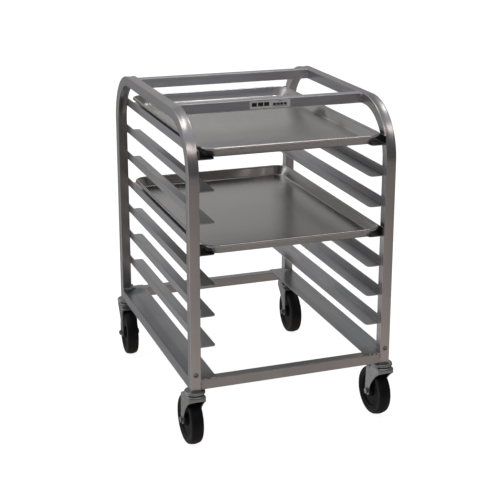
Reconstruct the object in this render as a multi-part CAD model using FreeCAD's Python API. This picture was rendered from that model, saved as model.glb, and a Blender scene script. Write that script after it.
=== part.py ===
"""End-loading half-height sheet pan rack on four swivel casters, with two sheet pans on its slides.

Units are millimetres. The origin is on the floor under the middle of the rack: +X is to the right of
someone standing at the front, +Y is to the rear and +Z is up. The casters trail towards the middle.
"""
import FreeCAD, Part
import math
import os

from FreeCAD import Vector

# Whole rack
RACK_WIDTH = 520.7
RACK_DEPTH = 685.8
RACK_HEIGHT = 818.0
POST_BOTTOM = 154.0            # the lower ends of the posts, which sit on the casters

# Square aluminium tube of the frame
TUBE = 25.4
TUBE_WALL = 2.0
TUBE_CORNER = 1.5
TUBE_BORE_CORNER = 0.5
BEND_RADIUS = 139.7            # outside of the bend where a post turns into the top run
TOP_TUBE_SETBACK = 154.4       # from the front of a post to the near face of a top cross tube
BASE_UNDERSIDE = 157.0         # underside of the bottom tubes and rails

# Pan slides: an angle with its flange up against the posts
SLIDE_COUNT = 7
SLIDE_PITCH = 76.2
TOP_SLIDE_UNDERSIDE = 719.5
SLIDE_THICKNESS = 2.4
SLIDE_LEDGE = 39.6             # from the post's inner face to the free edge of the ledge
SLIDE_FLANGE = 21.0
SLIDE_INSET = 5.0              # from the post's outer face to the end of the slide
SLIDE_CORNER = 10.0            # the free corners of the ledge
SLIDE_BEND = 2.0               # inside of the angle
WELD_LAND = 3.0                # how far the bottom rail stops short of the tube's face

# Sheet pan with a rim rolled round a wire
PAN_WIDTH = 454.0
PAN_LENGTH = 657.0
PAN_HEIGHT = 25.4
PAN_SHEET = 1.2
PAN_RIM_CORNER = 38.0          # outside of the rim
PAN_FLOOR_CORNER = 26.0
PAN_WALL_LEAN = 14.5           # how far the wall leans out between the floor and the rim
PAN_FLOOR_BEND = 5.0           # outside of the bend between floor and wall
RIM_RADIUS = 3.5
RIM_WIRE_RADIUS = 1.6
RIM_WIRE_GAP = 0.1
PAN_LIFT = 0.3                 # working gap between a pan and its ledges
PAN_SIDE_OFFSET = -1.0
PANS = {"upper": (1, -347.0), "lower": (4, -357.0)}    # name: (slide it lies on, y of its front edge)

# Foil label on the front top tube
LABEL_WIDTH = 104.0
LABEL_HEIGHT = 19.0
LABEL_THICKNESS = 0.4
LABEL_X = -6.5

# Caster: local frame with the swivel axis on Z and the wheel trailing towards +Y
WHEEL_RADIUS = 63.5
WHEEL_WIDTH = 32.0
CASTER_TRAIL = 35.0
TYRE_INNER_RADIUS = 48.0
TYRE_SHOULDER = 7.0
TYRE_CROWN = 1.5               # how much lower the tread is where the shoulder begins
TYRE_CHAMFER = 2.0             # bevel between the side of the tyre and its seat on the core
CORE_RIM_WIDTH = 28.0
CORE_RIM_INNER_RADIUS = 42.0
CORE_WEB_WIDTH = 20.0
CORE_RIM_FLARE = 3.0            # slope between the web and the rim
HUB_RADIUS = 15.0
HUB_LENGTH = 35.0
HUB_BEVEL = 1.0
HUB_FLARE = 2.0                # slope between the web and the hub
BUSHING_RADIUS = 6.5
AXLE_RADIUS = 4.0
HUB_CLEARANCE = 0.05
FORK_GAP = 37.0
FORK_PLATE = 3.0
FORK_NOSE_RADIUS = 29.5        # front of the crown, round the swivel axis
FORK_TOP = 145.0               # top of the dome that carries the ball bearing
FORK_DECK = 135.0              # top of the plate behind the dome
FORK_CORNER = 5.0
FORK_REAR = 43.0
FORK_REAR_CORNER = 3.0
FORK_BOSS_RADIUS = 11.0
# Front edge of the legs, as (y, z): where the legs begin to widen, a point half way up and the nose
FORK_FRONT_EDGE = ((24.0, 75.0), (0.0, 111.5), (-29.5, 134.0))
CAP_RADIUS = 25.5
CAP_UNDERSIDE = 148.0
CAP_ROUND = 3.0
KINGPIN_RADIUS = 6.0
KINGPIN_CLEARANCE = 0.06
KINGPIN_HEAD_RADIUS = 10.0
KINGPIN_HEAD_HEIGHT = 4.0
KINGPIN_HEAD_GAP = 0.4
BALL_RADIUS = 2.5
BALL_CIRCLE_RADIUS = 21.5
BALL_CLEARANCE = 0.05
BALL_COUNT = 12
HEX_FLATS = 13.0
BOLT_HEAD_HEIGHT = 5.3
NUT_HEIGHT = 6.5
THREAD_END = 2.0
STEM_FIT = 0.1                 # gap between the square stem and the inside of the post
STEM_CORNER = 1.5
STEM_LENGTH = 60.0

# Retaining screw of each caster stem, in a hole through the outer wall of the post
SCREW_HEIGHT = 196.0
SCREW_HOLE_RADIUS = 6.4
SCREW_HEAD_RADIUS = 5.9
SCREW_HEAD_HEIGHT = 1.4
SCREW_SHANK_RADIUS = 3.0
SCREW_SHANK_LENGTH = 12.0

# name: (side in X, side in Y, turn about the swivel axis in degrees)
CASTERS = {
    "front_left": (-1, -1, 0.9),
    "front_right": (1, -1, 3.1),
    "rear_left": (-1, 1, 176.4),
    "rear_right": (1, 1, 177.5),
}

# Worked out from the dimensions above
HALF_WIDTH = RACK_WIDTH / 2
HALF_DEPTH = RACK_DEPTH / 2
POST_X = HALF_WIDTH - TUBE / 2
POST_Y = HALF_DEPTH - TUBE / 2
INNER_X = HALF_WIDTH - TUBE
BASE_TOP = BASE_UNDERSIDE + TUBE
FORK_HALF = FORK_GAP / 2 + FORK_PLATE
X_AXIS = Vector(1, 0, 0)
Y_AXIS = Vector(0, 1, 0)
Z_AXIS = Vector(0, 0, 1)
OVERCUT = 10.0                 # how far a cutting tool runs past the face that it cuts
SAME_PLACE = 1e-3              # two values nearer than this are the same place


def box(x_range, y_range, z_range):
    """Box between two values on each axis, given in either order."""
    low = Vector(min(x_range), min(y_range), min(z_range))
    high = Vector(max(x_range), max(y_range), max(z_range))
    size = high - low
    return Part.makeBox(size.x, size.y, size.z, low)


def rounded_rectangle(width, depth, radius, z=0.0):
    """Wire of a rectangle with round corners, centred on the Z axis, in the plane at height z."""
    half_w = width / 2
    half_d = depth / 2
    diagonal = radius * (1 - math.sqrt(0.5))
    edges = []
    for turn in range(4):
        along = (half_w, half_d) if turn % 2 == 0 else (half_d, half_w)
        start = Vector(along[0], -along[1] + radius, z)
        end = Vector(along[0], along[1] - radius, z)
        middle = Vector(along[0] - diagonal, along[1] - diagonal, z)
        corner_end = Vector(along[0] - radius, along[1], z)
        straight = Part.LineSegment(start, end).toShape()
        corner = Part.Arc(end, middle, corner_end).toShape()
        for edge in (straight, corner):
            edge.rotate(Vector(0, 0, z), Z_AXIS, 90 * turn)
            edges.append(edge)
    return Part.Wire(edges)


def tube_section():
    """Section of the square tube, centred on the origin in the XY plane."""
    bore = TUBE - 2 * TUBE_WALL
    outside = Part.Face(rounded_rectangle(TUBE, TUBE, TUBE_CORNER))
    inside = Part.Face(rounded_rectangle(bore, bore, TUBE_BORE_CORNER))
    return outside.cut(inside).Faces[0]


def cross_tube(y_centre, z_centre):
    """Square tube across the rack, cut square between the two side frames."""
    section = tube_section()
    section.rotate(Vector(0, 0, 0), Y_AXIS, 90)
    section.translate(Vector(-INNER_X, y_centre, z_centre))
    return section.extrude(Vector(2 * INNER_X, 0, 0))


def frame_end(side, end):
    """Post and bend at the front (end -1) or rear (end 1) of a side frame."""
    bend_z = RACK_HEIGHT - BEND_RADIUS
    section = tube_section()
    section.translate(Vector(side * POST_X, end * POST_Y, bend_z))
    post = section.extrude(Vector(0, 0, POST_BOTTOM - bend_z))
    centre = Vector(0, end * (HALF_DEPTH - BEND_RADIUS), bend_z)
    bend = section.revolve(centre, Vector(end, 0, 0), 90)
    return [post, bend]


def side_frame(side):
    """One tube bent into an upside-down U: post, bend, top run, bend, post."""
    run = RACK_DEPTH - 2 * BEND_RADIUS
    section = tube_section()
    section.rotate(Vector(0, 0, 0), X_AXIS, 90)
    section.translate(Vector(side * POST_X, -run / 2, RACK_HEIGHT - TUBE / 2))
    top_run = section.extrude(Vector(0, run, 0))
    frame = top_run.multiFuse(frame_end(side, -1) + frame_end(side, 1)).removeSplitter()
    for end in (-1, 1):
        wall = Vector(side * POST_X, end * (HALF_DEPTH - TUBE / 2), SCREW_HEIGHT)
        hole = Part.makeCylinder(SCREW_HOLE_RADIUS, TUBE, wall, Vector(0, end, 0))
        frame = frame.cut(hole)
    return frame


def bottom_rail(side):
    """Angle between the posts at the base, with a wide ledge that lies over the bottom tubes."""
    free_edge = INNER_X - SLIDE_LEDGE
    top = BASE_TOP + SLIDE_THICKNESS
    between_posts = HALF_DEPTH - TUBE
    over_tubes = HALF_DEPTH - WELD_LAND
    outer = (side * HALF_WIDTH, side * (HALF_WIDTH - SLIDE_THICKNESS))
    wall = box(outer, (-between_posts, between_posts), (BASE_UNDERSIDE, top))
    strip = box((side * HALF_WIDTH, side * INNER_X), (-between_posts, between_posts), (BASE_TOP, top))
    ledge = box((side * INNER_X, side * free_edge), (-over_tubes, over_tubes), (BASE_TOP, top))
    return wall.multiFuse([strip, ledge]).removeSplitter()


def slide_underside(level):
    """Height of the underside of a slide, with slide 1 at the top."""
    return TOP_SLIDE_UNDERSIDE - (level - 1) * SLIDE_PITCH


def vertical_edges(shape, x, y_sides):
    """Edges parallel to Z that stand at x and at one of the given y values."""
    found = []
    for edge in shape.Edges:
        first, last = edge.Vertexes[0].Point, edge.Vertexes[-1].Point
        upright = math.hypot(first.x - last.x, first.y - last.y) < SAME_PLACE
        misses = [math.hypot(first.x - x, first.y - y) for y in y_sides]
        if upright and min(misses) < SAME_PLACE:
            found.append(edge)
    return found


def pan_slide(side, level):
    """Angle with its flange up against the posts and its ledge turned in under the pans."""
    low = slide_underside(level)
    ledge_top = low + SLIDE_THICKNESS
    half_length = HALF_DEPTH - SLIDE_INSET
    inner_face = side * (INNER_X - SLIDE_THICKNESS)
    free_edge = side * (INNER_X - SLIDE_LEDGE)
    length = (-half_length, half_length)
    flange = box((side * INNER_X, inner_face), length, (low, low + SLIDE_FLANGE))
    ledge = box((side * INNER_X, free_edge), length, (low, ledge_top))
    ledge = ledge.makeFillet(SLIDE_CORNER, vertical_edges(ledge, free_edge, length))
    bend = box((inner_face, inner_face - side * SLIDE_BEND), length, (ledge_top, ledge_top + SLIDE_BEND))
    bend_centre = Vector(inner_face - side * SLIDE_BEND, -half_length, ledge_top + SLIDE_BEND)
    hollow = Part.makeCylinder(SLIDE_BEND, 2 * half_length, bend_centre, Y_AXIS)
    return flange.multiFuse([ledge, bend.cut(hollow)]).removeSplitter()


def label():
    """Blank foil label stuck on the face of the front top tube."""
    face = -HALF_DEPTH + TOP_TUBE_SETBACK
    centre_z = RACK_HEIGHT - TUBE / 2
    x_range = (LABEL_X - LABEL_WIDTH / 2, LABEL_X + LABEL_WIDTH / 2)
    z_range = (centre_z - LABEL_HEIGHT / 2, centre_z + LABEL_HEIGHT / 2)
    return box(x_range, (face, face - LABEL_THICKNESS), z_range)


def rounded_ring(width, depth, corner, z, radius):
    """Round bar of the given radius, bent into a rectangle with round corners."""
    half_w = width / 2
    half_d = depth / 2
    pieces = []
    for side in (-1, 1):
        start = Vector(side * half_w, -half_d + corner, z)
        pieces.append(Part.makeCylinder(radius, depth - 2 * corner, start, Y_AXIS))
        start = Vector(-half_w + corner, side * half_d, z)
        pieces.append(Part.makeCylinder(radius, width - 2 * corner, start, X_AXIS))
    for side_x, side_y, first in ((1, 1, 0), (-1, 1, 90), (-1, -1, 180), (1, -1, 270)):
        centre = Vector(side_x * (half_w - corner), side_y * (half_d - corner), z)
        bend = Part.makeTorus(corner, radius, Vector(0, 0, 0), Z_AXIS, 0, 360, 90)
        bend.rotate(Vector(0, 0, 0), Z_AXIS, first)
        bend.translate(centre)
        pieces.append(bend)
    return pieces[0].multiFuse(pieces[1:]).removeSplitter()


def tray(inset, floor_z, top_z, bend):
    """Solid with the pan's leaning walls, drawn in by the inset, and a round bend at its floor."""
    rim_line = 2 * (RIM_RADIUS + inset)
    lean = 2 * PAN_WALL_LEAN
    corner = PAN_RIM_CORNER - RIM_RADIUS - inset
    top = rounded_rectangle(PAN_WIDTH - rim_line, PAN_LENGTH - rim_line, corner, top_z)
    floor_width = PAN_WIDTH - rim_line - lean
    floor_length = PAN_LENGTH - rim_line - lean
    floor = rounded_rectangle(floor_width, floor_length, PAN_FLOOR_CORNER - inset, floor_z)
    body = Part.makeLoft([floor, top], True, True)
    low_edges = [edge for edge in body.Edges if edge.BoundBox.ZMax < floor_z + SAME_PLACE]
    return body.makeFillet(bend, low_edges)


def pan_and_wire(level, front_y):
    """Sheet pan and the wire inside its rolled rim, lying on the slides of one level."""
    rim_z = PAN_HEIGHT - RIM_RADIUS
    rim_size = (PAN_WIDTH - 2 * RIM_RADIUS, PAN_LENGTH - 2 * RIM_RADIUS, PAN_RIM_CORNER - RIM_RADIUS)
    outside = tray(0, 0, rim_z, PAN_FLOOR_BEND)
    inside = tray(PAN_SHEET, PAN_SHEET, rim_z + OVERCUT, PAN_FLOOR_BEND - PAN_SHEET)
    inside = inside.common(box((-PAN_WIDTH, PAN_WIDTH), (-PAN_LENGTH, PAN_LENGTH), (0, PAN_HEIGHT)))
    rim = rounded_ring(*rim_size, rim_z, RIM_RADIUS)
    hollow = rounded_ring(*rim_size, rim_z, RIM_WIRE_RADIUS + RIM_WIRE_GAP)
    wire = rounded_ring(*rim_size, rim_z, RIM_WIRE_RADIUS)
    pan = outside.cut(inside).fuse(rim).removeSplitter().cut(hollow)
    floor_z = slide_underside(level) + SLIDE_THICKNESS + PAN_LIFT
    place = Vector(PAN_SIDE_OFFSET, front_y + PAN_LENGTH / 2, floor_z)
    pan.translate(place)
    wire.translate(place)
    return pan, wire


def ring(outer_radius, inner_radius, z_range):
    """Flat ring round the Z axis."""
    low, high = z_range
    height = high - low
    base = Vector(0, 0, low)
    return Part.makeCylinder(outer_radius, height, base).cut(Part.makeCylinder(inner_radius, height, base))


def rim_edges(shape, radius, z):
    """Circular edges of the given radius round the Z axis at height z."""
    found = []
    for edge in shape.Edges:
        box_of = edge.BoundBox
        level = max(abs(box_of.ZMin - z), abs(box_of.ZMax - z)) < SAME_PLACE
        if level and hasattr(edge.Curve, "Radius") and abs(edge.Curve.Radius - radius) < SAME_PLACE:
            found.append(edge)
    return found


def ball_groove():
    """Ring that the bearing balls run in, a little larger than the balls."""
    centre = Vector(0, 0, (FORK_TOP + CAP_UNDERSIDE) / 2)
    return Part.makeTorus(BALL_CIRCLE_RADIUS, BALL_RADIUS + BALL_CLEARANCE, centre)


def caster_stem(rear):
    """Square stem, bearing cap and kingpin in one piece. The screw hole faces out of the rack."""
    width = TUBE - 2 * TUBE_WALL - 2 * STEM_FIT
    section = Part.Face(rounded_rectangle(width, width, STEM_CORNER, POST_BOTTOM))
    stem = section.extrude(Vector(0, 0, STEM_LENGTH))
    outward = Vector(0, 1 if rear else -1, 0)
    start = outward * (width / 2 - SCREW_SHANK_LENGTH) + Vector(0, 0, SCREW_HEIGHT)
    stem = stem.cut(Part.makeCylinder(SCREW_SHANK_RADIUS, SCREW_SHANK_LENGTH, start, outward))
    cap = Part.makeCylinder(CAP_RADIUS, POST_BOTTOM - CAP_UNDERSIDE, Vector(0, 0, CAP_UNDERSIDE))
    cap = cap.makeFillet(CAP_ROUND, rim_edges(cap, CAP_RADIUS, POST_BOTTOM)).cut(ball_groove())
    head_top = FORK_TOP - FORK_PLATE - KINGPIN_HEAD_GAP
    head_bottom = head_top - KINGPIN_HEAD_HEIGHT
    pin = Part.makeCylinder(KINGPIN_RADIUS, CAP_UNDERSIDE - head_bottom, Vector(0, 0, head_bottom))
    head = Part.makeCylinder(KINGPIN_HEAD_RADIUS, KINGPIN_HEAD_HEIGHT, Vector(0, 0, head_bottom))
    return stem.multiFuse([cap, pin, head]).removeSplitter()


def bearing_balls():
    """Balls between the cap and the fork of one caster."""
    balls = []
    for index in range(BALL_COUNT):
        angle = 2 * math.pi * index / BALL_COUNT
        x = BALL_CIRCLE_RADIUS * math.cos(angle)
        y = BALL_CIRCLE_RADIUS * math.sin(angle)
        balls.append(Part.makeSphere(BALL_RADIUS, Vector(x, y, (FORK_TOP + CAP_UNDERSIDE) / 2)))
    return balls


def crown_block(half_width, nose_radius, z_range, corner):
    """Block with the fork's outline from above: a round nose, straight sides and a square rear."""
    side_start = -math.sqrt(nose_radius ** 2 - half_width ** 2)
    rear = FORK_REAR + FORK_BOSS_RADIUS + OVERCUT
    points = [
        Vector(half_width, side_start, z_range[0]),
        Vector(half_width, rear, z_range[0]),
        Vector(-half_width, rear, z_range[0]),
        Vector(-half_width, side_start, z_range[0]),
    ]
    nose = Part.Arc(points[3], Vector(0, -nose_radius, z_range[0]), points[0]).toShape()
    sides = [Part.LineSegment(a, b).toShape() for a, b in zip(points, points[1:])]
    block = Part.Face(Part.Wire(sides + [nose])).extrude(Vector(0, 0, z_range[1] - z_range[0]))
    rim = []
    for edge in block.Edges:
        on_top = edge.BoundBox.ZMin > z_range[1] - SAME_PLACE
        if on_top and edge.BoundBox.YMin < rear - SAME_PLACE:
            rim.append(edge)
    return block.makeFillet(corner, rim)


def crown(inset):
    """Outside of the fork's crown drawn in by the inset: the deck, and the dome round the swivel axis."""
    low = WHEEL_RADIUS - FORK_BOSS_RADIUS - OVERCUT - inset
    half_width = FORK_HALF - inset
    radius = FORK_NOSE_RADIUS - inset
    deck = crown_block(half_width, radius, (low, FORK_DECK - inset), FORK_CORNER - inset)
    dome = crown_block(half_width, radius, (low, FORK_TOP - inset), FORK_CORNER - inset)
    dome = dome.common(dome.mirror(Vector(0, 0, 0), Y_AXIS))
    return deck.fuse(dome)


def leg_outline():
    """Side view of the fork as a solid across its whole width."""
    x = -FORK_HALF - OVERCUT
    leg_front, arch, nose = [Vector(x, y, z) for y, z in FORK_FRONT_EDGE]
    boss_front = Vector(x, CASTER_TRAIL - FORK_BOSS_RADIUS, WHEEL_RADIUS)
    boss_rear = Vector(x, CASTER_TRAIL + FORK_BOSS_RADIUS, WHEEL_RADIUS)
    boss_bottom = Vector(x, CASTER_TRAIL, WHEEL_RADIUS - FORK_BOSS_RADIUS)
    corner = FORK_REAR_CORNER * (1 - math.sqrt(0.5))
    deck_end = Vector(x, FORK_REAR - FORK_REAR_CORNER, FORK_DECK)
    above_deck_end = Vector(x, deck_end.y, FORK_TOP + OVERCUT)
    above_nose = Vector(x, nose.y - OVERCUT, above_deck_end.z)
    before_nose = Vector(x, nose.y - OVERCUT, nose.z)
    rear_corner = Vector(x, FORK_REAR - corner, FORK_DECK - corner)
    rear_side = Vector(x, FORK_REAR, FORK_DECK - FORK_REAR_CORNER)
    edges = [
        Part.Arc(boss_rear, boss_bottom, boss_front).toShape(),
        Part.LineSegment(boss_front, leg_front).toShape(),
        Part.Arc(leg_front, arch, nose).toShape(),
        Part.LineSegment(nose, before_nose).toShape(),
        Part.LineSegment(before_nose, above_nose).toShape(),
        Part.LineSegment(above_nose, above_deck_end).toShape(),
        Part.LineSegment(above_deck_end, deck_end).toShape(),
        Part.Arc(deck_end, rear_corner, rear_side).toShape(),
        Part.LineSegment(rear_side, boss_rear).toShape(),
    ]
    width = 2 * (FORK_HALF + OVERCUT)
    return Part.Face(Part.Wire(edges)).extrude(Vector(width, 0, 0))


def across(radius, x_range):
    """Round bar along the wheel's axle."""
    low, high = x_range
    return Part.makeCylinder(radius, high - low, Vector(low, CASTER_TRAIL, WHEEL_RADIUS), X_AXIS)


def fork():
    """Pressed fork: a dome round the swivel axis, a round nose, a deck over the wheel and two swept legs."""
    shell = crown(0).cut(crown(FORK_PLATE)).common(leg_outline()).removeSplitter()
    hole = Part.makeCylinder(KINGPIN_RADIUS + KINGPIN_CLEARANCE, 2 * FORK_TOP)
    axle_hole = across(AXLE_RADIUS, (-FORK_HALF - OVERCUT, FORK_HALF + OVERCUT))
    return shell.cut(ball_groove()).cut(hole).cut(axle_hole)


def hexagon(x_range):
    """Hexagonal bar along the axle, with two flats upright."""
    low, high = x_range
    corner_radius = HEX_FLATS / math.sqrt(3)
    points = []
    for index in range(7):
        angle = math.radians(60 * index)
        y = CASTER_TRAIL + corner_radius * math.cos(angle)
        points.append(Vector(low, y, WHEEL_RADIUS + corner_radius * math.sin(angle)))
    return Part.Face(Part.makePolygon(points)).extrude(Vector(high - low, 0, 0))


def axle_bolt():
    """Hexagon bolt through the fork and the bushing, with its thread end standing out of the nut."""
    head = hexagon((-FORK_HALF - BOLT_HEAD_HEIGHT, -FORK_HALF))
    thread_end = FORK_HALF + NUT_HEIGHT + THREAD_END
    return head.fuse(across(AXLE_RADIUS, (-FORK_HALF, thread_end))).removeSplitter()


def axle_nut():
    """Nut on the end of the axle bolt."""
    nut_range = (FORK_HALF, FORK_HALF + NUT_HEIGHT)
    return hexagon(nut_range).cut(across(AXLE_RADIUS, nut_range))


def bushing():
    """Sleeve clamped between the fork's legs, on which the wheel turns."""
    length = (-FORK_GAP / 2, FORK_GAP / 2)
    return across(BUSHING_RADIUS, length).cut(across(AXLE_RADIUS, length))


def turned(points):
    """Solid of revolution about the axle, from (x, radius) points joined by straight lines."""
    outline = [Vector(x, CASTER_TRAIL, WHEEL_RADIUS + radius) for x, radius in points]
    face = Part.Face(Part.makePolygon(outline + outline[:1]))
    return face.revolve(Vector(0, CASTER_TRAIL, WHEEL_RADIUS), X_AXIS, 360)


def wheel_core():
    """Moulded wheel centre: hub, thin web and rim."""
    hub = HUB_LENGTH / 2
    web = CORE_WEB_WIDTH / 2
    rim = CORE_RIM_WIDTH / 2
    half = [
        (hub, BUSHING_RADIUS + HUB_CLEARANCE),
        (hub, HUB_RADIUS - HUB_BEVEL),
        (hub - HUB_BEVEL, HUB_RADIUS),
        (web, HUB_RADIUS + HUB_FLARE),
        (web, CORE_RIM_INNER_RADIUS - CORE_RIM_FLARE),
        (rim, CORE_RIM_INNER_RADIUS),
        (rim, TYRE_INNER_RADIUS),
    ]
    mirrored = [(-x, radius) for x, radius in reversed(half)]
    return turned(half + mirrored)


def tyre():
    """Solid rubber tyre with a crowned tread and round shoulders."""
    half = WHEEL_WIDTH / 2
    tread_low = WHEEL_RADIUS - TYRE_CROWN
    side_top = tread_low - TYRE_SHOULDER
    bulge = TYRE_SHOULDER * math.sqrt(0.5)
    seat = TYRE_INNER_RADIUS + TYRE_CHAMFER
    seat_edge = half - TYRE_CHAMFER
    tread_edge = half - TYRE_SHOULDER

    def at(x, radius):
        return Vector(x, CASTER_TRAIL, WHEEL_RADIUS + radius)

    def half_outline(side):
        shoulder = at(side * (tread_edge + bulge), side_top + bulge)
        return [
            Part.LineSegment(at(side * seat_edge, TYRE_INNER_RADIUS), at(side * half, seat)).toShape(),
            Part.LineSegment(at(side * half, seat), at(side * half, side_top)).toShape(),
            Part.Arc(at(side * half, side_top), shoulder, at(side * tread_edge, tread_low)).toShape(),
        ]

    bore = Part.LineSegment(at(-seat_edge, TYRE_INNER_RADIUS), at(seat_edge, TYRE_INNER_RADIUS)).toShape()
    tread = Part.Arc(at(tread_edge, tread_low), at(0, WHEEL_RADIUS), at(-tread_edge, tread_low)).toShape()
    outline = [bore] + half_outline(1) + [tread] + half_outline(-1)[::-1]
    return Part.Face(Part.Wire(outline)).revolve(Vector(0, CASTER_TRAIL, WHEEL_RADIUS), X_AXIS, 360)


def stem_screw(side, end):
    """Screw whose head sits in the post's hole and whose shank holds the square stem."""
    outward = Vector(0, end, 0)
    stem_face = POST_Y + TUBE / 2 - TUBE_WALL - STEM_FIT
    seat = Vector(side * POST_X, end * stem_face, SCREW_HEIGHT)
    head = Part.makeCylinder(SCREW_HEAD_RADIUS, SCREW_HEAD_HEIGHT, seat, outward)
    shank_end = seat - outward * SCREW_SHANK_LENGTH
    shank = Part.makeCylinder(SCREW_SHANK_RADIUS, SCREW_SHANK_LENGTH, shank_end, outward)
    return head.fuse(shank).removeSplitter()


def placed(shape, name):
    """Copy of a caster piece, turned and moved to its corner of the rack."""
    side, end, turn = CASTERS[name]
    copy = shape.copy()
    copy.rotate(Vector(0, 0, 0), Z_AXIS, turn)
    copy.translate(Vector(side * POST_X, end * POST_Y, 0))
    return copy


def frame_nodes():
    """Welded frame: side frames, cross tubes, rails, slides and the label."""
    top_y = HALF_DEPTH - TOP_TUBE_SETBACK - TUBE / 2
    top_z = RACK_HEIGHT - TUBE / 2
    base_z = BASE_UNDERSIDE + TUBE / 2
    nodes = {
        "top_tube_front": cross_tube(-top_y, top_z),
        "top_tube_rear": cross_tube(top_y, top_z),
        "bottom_tube_front": cross_tube(-POST_Y, base_z),
        "bottom_tube_rear": cross_tube(POST_Y, base_z),
        "label_plate": label(),
    }
    for name, side in (("left", -1), ("right", 1)):
        nodes["side_frame_" + name] = side_frame(side)
        nodes["bottom_rail_" + name] = bottom_rail(side)
        for level in range(1, SLIDE_COUNT + 1):
            nodes[f"pan_slide_{name}_{level}"] = pan_slide(side, level)
    return nodes


def pan_nodes():
    """The sheet pans and the wires in their rims."""
    nodes = {}
    for name, (level, front_y) in PANS.items():
        pan, wire = pan_and_wire(level, front_y)
        nodes["sheet_pan_" + name] = pan
        nodes["pan_rim_wire_" + name] = wire
    return nodes


def caster_nodes():
    """The casters, each piece in a node of its own but for the balls and the stem screws."""
    turning = {
        "fork": fork(),
        "axle_bolt": axle_bolt(),
        "axle_nut": axle_nut(),
        "bushing": bushing(),
        "wheel_core": wheel_core(),
        "tyre": tyre(),
    }
    nodes = {}
    balls = []
    screws = []
    for name, (side, end, turn) in CASTERS.items():
        stem = caster_stem(end > 0)
        stem.translate(Vector(side * POST_X, end * POST_Y, 0))
        nodes["caster_stem_" + name] = stem
        balls += [placed(ball, name) for ball in bearing_balls()]
        screws.append(stem_screw(side, end))
        for piece, shape in turning.items():
            nodes[f"caster_{piece}_{name}"] = placed(shape, name)
    nodes["swivel_balls"] = Part.makeCompound(balls)
    nodes["stem_screws"] = Part.makeCompound(screws)
    return nodes


def main():
    os.makedirs("parts", exist_ok=True)
    nodes = {**frame_nodes(), **pan_nodes(), **caster_nodes()}
    for name, shape in nodes.items():
        print(f"{name}: solids {len(shape.Solids)}, volume {shape.Volume:.0f} mm3, valid {shape.isValid()}")
        shape.exportStep(f"parts/{name}.step")


main()
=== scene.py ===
import math
import random

import bmesh
import bpy
from mathutils import Matrix, Vector


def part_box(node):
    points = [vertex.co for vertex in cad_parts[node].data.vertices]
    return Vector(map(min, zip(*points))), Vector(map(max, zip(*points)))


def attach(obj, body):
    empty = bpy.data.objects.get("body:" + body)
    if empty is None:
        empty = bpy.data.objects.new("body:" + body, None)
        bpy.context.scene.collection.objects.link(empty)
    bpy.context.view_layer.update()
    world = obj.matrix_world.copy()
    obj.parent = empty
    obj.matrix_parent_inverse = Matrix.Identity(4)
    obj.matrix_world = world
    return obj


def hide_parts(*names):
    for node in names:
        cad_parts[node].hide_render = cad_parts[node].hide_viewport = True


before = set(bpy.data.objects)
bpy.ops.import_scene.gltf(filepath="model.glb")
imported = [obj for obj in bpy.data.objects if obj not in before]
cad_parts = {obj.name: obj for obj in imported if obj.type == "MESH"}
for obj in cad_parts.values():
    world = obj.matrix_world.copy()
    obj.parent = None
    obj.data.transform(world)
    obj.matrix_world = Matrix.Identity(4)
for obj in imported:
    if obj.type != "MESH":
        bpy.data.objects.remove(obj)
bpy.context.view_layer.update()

MM = 0.001
QUARTER_TURN = math.pi / 2
FULL_TURN = 2 * math.pi
AXIS_X, AXIS_Y = 0, 1
# Corners of the rack: side (-1 left, 1 right) and end (-1 front, 1 rear)
CORNERS = [(side, end) for side in (-1, 1) for end in (-1, 1)]
SLIDE_LEVELS = range(1, 8)         # 1 is the top slide
LEVELS_WITH_PAN = (1, 4)

# Sizes taken from the frame
FRAME_LOW, FRAME_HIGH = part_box("side_frame_left")
TOP_TUBE_LOW, TOP_TUBE_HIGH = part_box("top_tube_front")
RAIL_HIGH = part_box("bottom_rail_left")[1]
SCREWS_LOW, SCREWS_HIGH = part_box("stem_screws")
LABEL_LOW, LABEL_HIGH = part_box("label_plate")
HALF_WIDTH = -FRAME_LOW.x
HALF_DEPTH = FRAME_HIGH.y
RACK_HEIGHT = FRAME_HIGH.z
POST_BOTTOM = FRAME_LOW.z
TUBE = TOP_TUBE_HIGH.z - TOP_TUBE_LOW.z
POST_X = HALF_WIDTH - TUBE / 2     # middle of a post, from the middle of the rack
INNER_X = TOP_TUBE_HIGH.x          # inner face of a post
TOP_TUBE_Y = (-TOP_TUBE_LOW.y, -TOP_TUBE_HIGH.y)    # far and near face of a top cross tube
BASE_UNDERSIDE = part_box("bottom_tube_front")[0].z
BASE_TOP = BASE_UNDERSIDE + TUBE
RAIL_TOP = RAIL_HIGH.z
LEDGE_EDGE = -RAIL_HIGH.x          # free edge of a rail or slide
SCREW_Z = (SCREWS_LOW.z + SCREWS_HIGH.z) / 2

# Bent tube
TUBE_WALL = 2.0 * MM
TUBE_CORNER = 1.5 * MM
TUBE_BORE_CORNER = 0.5 * MM
BEND_RADIUS = 139.7 * MM           # of the outer wall
OUTER_DISH = 1.15 * MM             # how far the outer wall of a bend sinks between its corners
INNER_DISH = 1.0 * MM              # the same for the inner wall
DISH_FADE = math.radians(13)       # angle of bend over which the dish comes and goes
DISH_EDGE = 0.8                    # share of the half width past which a point belongs to a wall
POST_STEPS, BEND_STEPS, RUN_STEPS = 26, 36, 20
FLAT_STEPS, CORNER_STEPS = 10, 4   # of one side of the section
TUBE_SHARP = 30.0                  # degrees

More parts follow.
